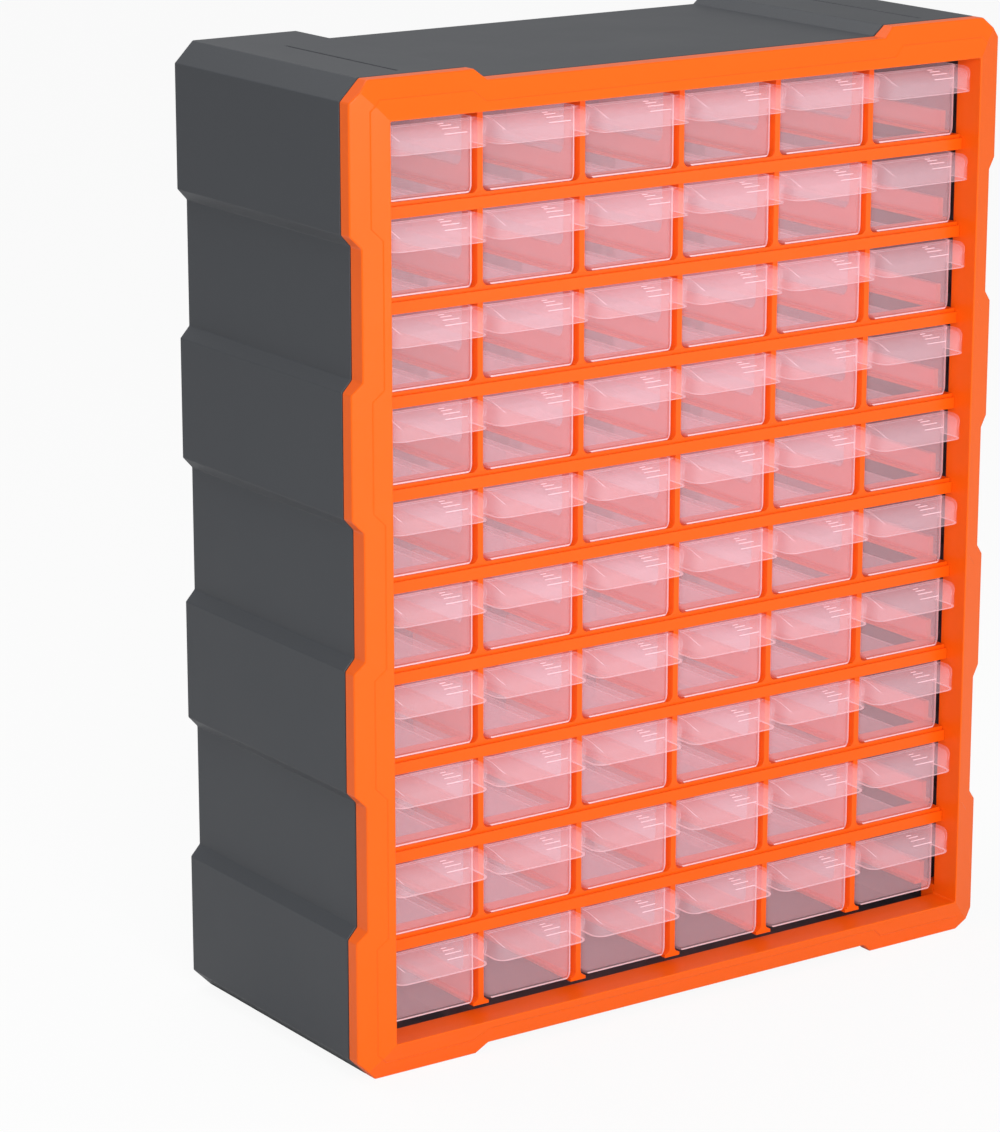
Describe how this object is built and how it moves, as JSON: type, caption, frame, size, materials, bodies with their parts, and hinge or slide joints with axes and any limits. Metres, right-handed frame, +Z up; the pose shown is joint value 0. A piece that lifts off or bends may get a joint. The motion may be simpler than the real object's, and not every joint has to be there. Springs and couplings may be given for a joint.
{
  "type": "parts bin cabinet",
  "caption": "Upright cabinet for small parts: stepped grey casing, orange front frame and grid, rows of clear pull-out drawers with hooded pulls.",
  "frame": {"origin": "middle of the base, on the surface that the feet stand on", "axes": "+X to the right across the front, +Y from the front to the back, +Z up; the drawers pull out along -Y"},
  "size_m": [0.38, 0.16, 0.475],
  "materials": {
    "casing_grey": "fine-textured moulded polypropylene, dark grey",
    "frame_orange": "smooth moulded polystyrene, orange, satin gloss",
    "grid_orange": "smooth moulded polystyrene, orange, satin gloss",
    "drawer_clear": "clear polypropylene, slightly milky, glossy"
  },
  "bodies": {
    "cabinet": {"casing": "casing_grey", "front_frame": "frame_orange", "drawer_grid": "grid_orange"},
    "drawer_r01_c1": {"drawer_r01_c1": "drawer_clear"},
    "drawer_r01_c2": {"drawer_r01_c2": "drawer_clear"},
    "drawer_r01_c3": {"drawer_r01_c3": "drawer_clear"},
    "drawer_r01_c4": {"drawer_r01_c4": "drawer_clear"},
    "drawer_r01_c5": {"drawer_r01_c5": "drawer_clear"},
    "drawer_r01_c6": {"drawer_r01_c6": "drawer_clear"},
    "drawer_r02_c1": {"drawer_r02_c1": "drawer_clear"},
    "drawer_r02_c2": {"drawer_r02_c2": "drawer_clear"},
    "drawer_r02_c3": {"drawer_r02_c3": "drawer_clear"},
    "drawer_r02_c4": {"drawer_r02_c4": "drawer_clear"},
    "drawer_r02_c5": {"drawer_r02_c5": "drawer_clear"},
    "drawer_r02_c6": {"drawer_r02_c6": "drawer_clear"},
    "drawer_r03_c1": {"drawer_r03_c1": "drawer_clear"},
    "drawer_r03_c2": {"drawer_r03_c2": "drawer_clear"},
    "drawer_r03_c3": {"drawer_r03_c3": "drawer_clear"},
    "drawer_r03_c4": {"drawer_r03_c4": "drawer_clear"},
    "drawer_r03_c5": {"drawer_r03_c5": "drawer_clear"},
    "drawer_r03_c6": {"drawer_r03_c6": "drawer_clear"},
    "drawer_r04_c1": {"drawer_r04_c1": "drawer_clear"},
    "drawer_r04_c2": {"drawer_r04_c2": "drawer_clear"},
    "drawer_r04_c3": {"drawer_r04_c3": "drawer_clear"},
    "drawer_r04_c4": {"drawer_r04_c4": "drawer_clear"},
    "drawer_r04_c5": {"drawer_r04_c5": "drawer_clear"},
    "drawer_r04_c6": {"drawer_r04_c6": "drawer_clear"},
    "drawer_r05_c1": {"drawer_r05_c1": "drawer_clear"},
    "drawer_r05_c2": {"drawer_r05_c2": "drawer_clear"},
    "drawer_r05_c3": {"drawer_r05_c3": "drawer_clear"},
    "drawer_r05_c4": {"drawer_r05_c4": "drawer_clear"},
    "drawer_r05_c5": {"drawer_r05_c5": "drawer_clear"},
    "drawer_r05_c6": {"drawer_r05_c6": "drawer_clear"},
    "drawer_r06_c1": {"drawer_r06_c1": "drawer_clear"},
    "drawer_r06_c2": {"drawer_r06_c2": "drawer_clear"},
    "drawer_r06_c3": {"drawer_r06_c3": "drawer_clear"},
    "drawer_r06_c4": {"drawer_r06_c4": "drawer_clear"},
    "drawer_r06_c5": {"drawer_r06_c5": "drawer_clear"},
    "drawer_r06_c6": {"drawer_r06_c6": "drawer_clear"},
    "drawer_r07_c1": {"drawer_r07_c1": "drawer_clear"},
    "drawer_r07_c2": {"drawer_r07_c2": "drawer_clear"},
    "drawer_r07_c3": {"drawer_r07_c3": "drawer_clear"},
    "drawer_r07_c4": {"drawer_r07_c4": "drawer_clear"},
    "drawer_r07_c5": {"drawer_r07_c5": "drawer_clear"},
    "drawer_r07_c6": {"drawer_r07_c6": "drawer_clear"},
    "drawer_r08_c1": {"drawer_r08_c1": "drawer_clear"},
    "drawer_r08_c2": {"drawer_r08_c2": "drawer_clear"},
    "drawer_r08_c3": {"drawer_r08_c3": "drawer_clear"},
    "drawer_r08_c4": {"drawer_r08_c4": "drawer_clear"},
    "drawer_r08_c5": {"drawer_r08_c5": "drawer_clear"},
    "drawer_r08_c6": {"drawer_r08_c6": "drawer_clear"},
    "drawer_r09_c1": {"drawer_r09_c1": "drawer_clear"},
    "drawer_r09_c2": {"drawer_r09_c2": "drawer_clear"},
    "drawer_r09_c3": {"drawer_r09_c3": "drawer_clear"},
    "drawer_r09_c4": {"drawer_r09_c4": "drawer_clear"},
    "drawer_r09_c5": {"drawer_r09_c5": "drawer_clear"},
    "drawer_r09_c6": {"drawer_r09_c6": "drawer_clear"},
    "drawer_pair_r10_c1_c2": {"drawer_pair_r10_c1_c2": "drawer_clear"},
    "drawer_pair_r10_c3_c4": {"drawer_pair_r10_c3_c4": "drawer_clear"},
    "drawer_pair_r10_c5_c6": {"drawer_pair_r10_c5_c6": "drawer_clear"}
  },
  "joints": [
    {"name": "slide_r01_c1", "type": "slide", "parent": "cabinet", "child": "drawer_r01_c1", "axis": [0, -1, 0], "range_m": [0, 0.11]},
    {"name": "slide_r01_c2", "type": "slide", "parent": "cabinet", "child": "drawer_r01_c2", "axis": [0, -1, 0], "range_m": [0, 0.11]},
    {"name": "slide_r01_c3", "type": "slide", "parent": "cabinet", "child": "drawer_r01_c3", "axis": [0, -1, 0], "range_m": [0, 0.11]},
    {"name": "slide_r01_c4", "type": "slide", "parent": "cabinet", "child": "drawer_r01_c4", "axis": [0, -1, 0], "range_m": [0, 0.11]},
    {"name": "slide_r01_c5", "type": "slide", "parent": "cabinet", "child": "drawer_r01_c5", "axis": [0, -1, 0], "range_m": [0, 0.11]},
    {"name": "slide_r01_c6", "type": "slide", "parent": "cabinet", "child": "drawer_r01_c6", "axis": [0, -1, 0], "range_m": [0, 0.11]},
    {"name": "slide_r02_c1", "type": "slide", "parent": "cabinet", "child": "drawer_r02_c1", "axis": [0, -1, 0], "range_m": [0, 0.11]},
    {"name": "slide_r02_c2", "type": "slide", "parent": "cabinet", "child": "drawer_r02_c2", "axis": [0, -1, 0], "range_m": [0, 0.11]},
    {"name": "slide_r02_c3", "type": "slide", "parent": "cabinet", "child": "drawer_r02_c3", "axis": [0, -1, 0], "range_m": [0, 0.11]},
    {"name": "slide_r02_c4", "type": "slide", "parent": "cabinet", "child": "drawer_r02_c4", "axis": [0, -1, 0], "range_m": [0, 0.11]},
    {"name": "slide_r02_c5", "type": "slide", "parent": "cabinet", "child": "drawer_r02_c5", "axis": [0, -1, 0], "range_m": [0, 0.11]},
    {"name": "slide_r02_c6", "type": "slide", "parent": "cabinet", "child": "drawer_r02_c6", "axis": [0, -1, 0], "range_m": [0, 0.11]},
    {"name": "slide_r03_c1", "type": "slide", "parent": "cabinet", "child": "drawer_r03_c1", "axis": [0, -1, 0], "range_m": [0, 0.11]},
    {"name": "slide_r03_c2", "type": "slide", "parent": "cabinet", "child": "drawer_r03_c2", "axis": [0, -1, 0], "range_m": [0, 0.11]},
    {"name": "slide_r03_c3", "type": "slide", "parent": "cabinet", "child": "drawer_r03_c3", "axis": [0, -1, 0], "range_m": [0, 0.11]},
    {"name": "slide_r03_c4", "type": "slide", "parent": "cabinet", "child": "drawer_r03_c4", "axis": [0, -1, 0], "range_m": [0, 0.11]},
    {"name": "slide_r03_c5", "type": "slide", "parent": "cabinet", "child": "drawer_r03_c5", "axis": [0, -1, 0], "range_m": [0, 0.11]},
    {"name": "slide_r03_c6", "type": "slide", "parent": "cabinet", "child": "drawer_r03_c6", "axis": [0, -1, 0], "range_m": [0, 0.11]},
    {"name": "slide_r04_c1", "type": "slide", "parent": "cabinet", "child": "drawer_r04_c1", "axis": [0, -1, 0], "range_m": [0, 0.11]},
    {"name": "slide_r04_c2", "type": "slide", "parent": "cabinet", "child": "drawer_r04_c2", "axis": [0, -1, 0], "range_m": [0, 0.11]},
    {"name": "slide_r04_c3", "type": "slide", "parent": "cabinet", "child": "drawer_r04_c3", "axis": [0, -1, 0], "range_m": [0, 0.11]},
    {"name": "slide_r04_c4", "type": "slide", "parent": "cabinet", "child": "drawer_r04_c4", "axis": [0, -1, 0], "range_m": [0, 0.11]},
    {"name": "slide_r04_c5", "type": "slide", "parent": "cabinet", "child": "drawer_r04_c5", "axis": [0, -1, 0], "range_m": [0, 0.11]},
    {"name": "slide_r04_c6", "type": "slide", "parent": "cabinet", "child": "drawer_r04_c6", "axis": [0, -1, 0], "range_m": [0, 0.11]},
    {"name": "slide_r05_c1", "type": "slide", "parent": "cabinet", "child": "drawer_r05_c1", "axis": [0, -1, 0], "range_m": [0, 0.11]},
    {"name": "slide_r05_c2", "type": "slide", "parent": "cabinet", "child": "drawer_r05_c2", "axis": [0, -1, 0], "range_m": [0, 0.11]},
    {"name": "slide_r05_c3", "type": "slide", "parent": "cabinet", "child": "drawer_r05_c3", "axis": [0, -1, 0], "range_m": [0, 0.11]},
    {"name": "slide_r05_c4", "type": "slide", "parent": "cabinet", "child": "drawer_r05_c4", "axis": [0, -1, 0], "range_m": [0, 0.11]},
    {"name": "slide_r05_c5", "type": "slide", "parent": "cabinet", "child": "drawer_r05_c5", "axis": [0, -1, 0], "range_m": [0, 0.11]},
    {"name": "slide_r05_c6", "type": "slide", "parent": "cabinet", "child": "drawer_r05_c6", "axis": [0, -1, 0], "range_m": [0, 0.11]},
    {"name": "slide_r06_c1", "type": "slide", "parent": "cabinet", "child": "drawer_r06_c1", "axis": [0, -1, 0], "range_m": [0, 0.11]},
    {"name": "slide_r06_c2", "type": "slide", "parent": "cabinet", "child": "drawer_r06_c2", "axis": [0, -1, 0], "range_m": [0, 0.11]},
    {"name": "slide_r06_c3", "type": "slide", "parent": "cabinet", "child": "drawer_r06_c3", "axis": [0, -1, 0], "range_m": [0, 0.11]},
    {"name": "slide_r06_c4", "type": "slide", "parent": "cabinet", "child": "drawer_r06_c4", "axis": [0, -1, 0], "range_m": [0, 0.11]},
    {"name": "slide_r06_c5", "type": "slide", "parent": "cabinet", "child": "drawer_r06_c5", "axis": [0, -1, 0], "range_m": [0, 0.11]},
    {"name": "slide_r06_c6", "type": "slide", "parent": "cabinet", "child": "drawer_r06_c6", "axis": [0, -1, 0], "range_m": [0, 0.11]},
    {"name": "slide_r07_c1", "type": "slide", "parent": "cabinet", "child": "drawer_r07_c1", "axis": [0, -1, 0], "range_m": [0, 0.11]},
    {"name": "slide_r07_c2", "type": "slide", "parent": "cabinet", "child": "drawer_r07_c2", "axis": [0, -1, 0], "range_m": [0, 0.11]},
    {"name": "slide_r07_c3", "type": "slide", "parent": "cabinet", "child": "drawer_r07_c3", "axis": [0, -1, 0], "range_m": [0, 0.11]},
    {"name": "slide_r07_c4", "type": "slide", "parent": "cabinet", "child": "drawer_r07_c4", "axis": [0, -1, 0], "range_m": [0, 0.11]},
    {"name": "slide_r07_c5", "type": "slide", "parent": "cabinet", "child": "drawer_r07_c5", "axis": [0, -1, 0], "range_m": [0, 0.11]},
    {"name": "slide_r07_c6", "type": "slide", "parent": "cabinet", "child": "drawer_r07_c6", "axis": [0, -1, 0], "range_m": [0, 0.11]},
    {"name": "slide_r08_c1", "type": "slide", "parent": "cabinet", "child": "drawer_r08_c1", "axis": [0, -1, 0], "range_m": [0, 0.11]},
    {"name": "slide_r08_c2", "type": "slide", "parent": "cabinet", "child": "drawer_r08_c2", "axis": [0, -1, 0], "range_m": [0, 0.11]},
    {"name": "slide_r08_c3", "type": "slide", "parent": "cabinet", "child": "drawer_r08_c3", "axis": [0, -1, 0], "range_m": [0, 0.11]},
    {"name": "slide_r08_c4", "type": "slide", "parent": "cabinet", "child": "drawer_r08_c4", "axis": [0, -1, 0], "range_m": [0, 0.11]},
    {"name": "slide_r08_c5", "type": "slide", "parent": "cabinet", "child": "drawer_r08_c5", "axis": [0, -1, 0], "range_m": [0, 0.11]},
    {"name": "slide_r08_c6", "type": "slide", "parent": "cabinet", "child": "drawer_r08_c6", "axis": [0, -1, 0], "range_m": [0, 0.11]},
    {"name": "slide_r09_c1", "type": "slide", "parent": "cabinet", "child": "drawer_r09_c1", "axis": [0, -1, 0], "range_m": [0, 0.11]},
    {"name": "slide_r09_c2", "type": "slide", "parent": "cabinet", "child": "drawer_r09_c2", "axis": [0, -1, 0], "range_m": [0, 0.11]},
    {"name": "slide_r09_c3", "type": "slide", "parent": "cabinet", "child": "drawer_r09_c3", "axis": [0, -1, 0], "range_m": [0, 0.11]},
    {"name": "slide_r09_c4", "type": "slide", "parent": "cabinet", "child": "drawer_r09_c4", "axis": [0, -1, 0], "range_m": [0, 0.11]},
    {"name": "slide_r09_c5", "type": "slide", "parent": "cabinet", "child": "drawer_r09_c5", "axis": [0, -1, 0], "range_m": [0, 0.11]},
    {"name": "slide_r09_c6", "type": "slide", "parent": "cabinet", "child": "drawer_r09_c6", "axis": [0, -1, 0], "range_m": [0, 0.11]},
    {"name": "slide_r10_c1_c2", "type": "slide", "parent": "cabinet", "child": "drawer_pair_r10_c1_c2", "axis": [0, -1, 0], "range_m": [0, 0.11]},
    {"name": "slide_r10_c3_c4", "type": "slide", "parent": "cabinet", "child": "drawer_pair_r10_c3_c4", "axis": [0, -1, 0], "range_m": [0, 0.11]},
    {"name": "slide_r10_c5_c6", "type": "slide", "parent": "cabinet", "child": "drawer_pair_r10_c5_c6", "axis": [0, -1, 0], "range_m": [0, 0.11]}
  ]
}
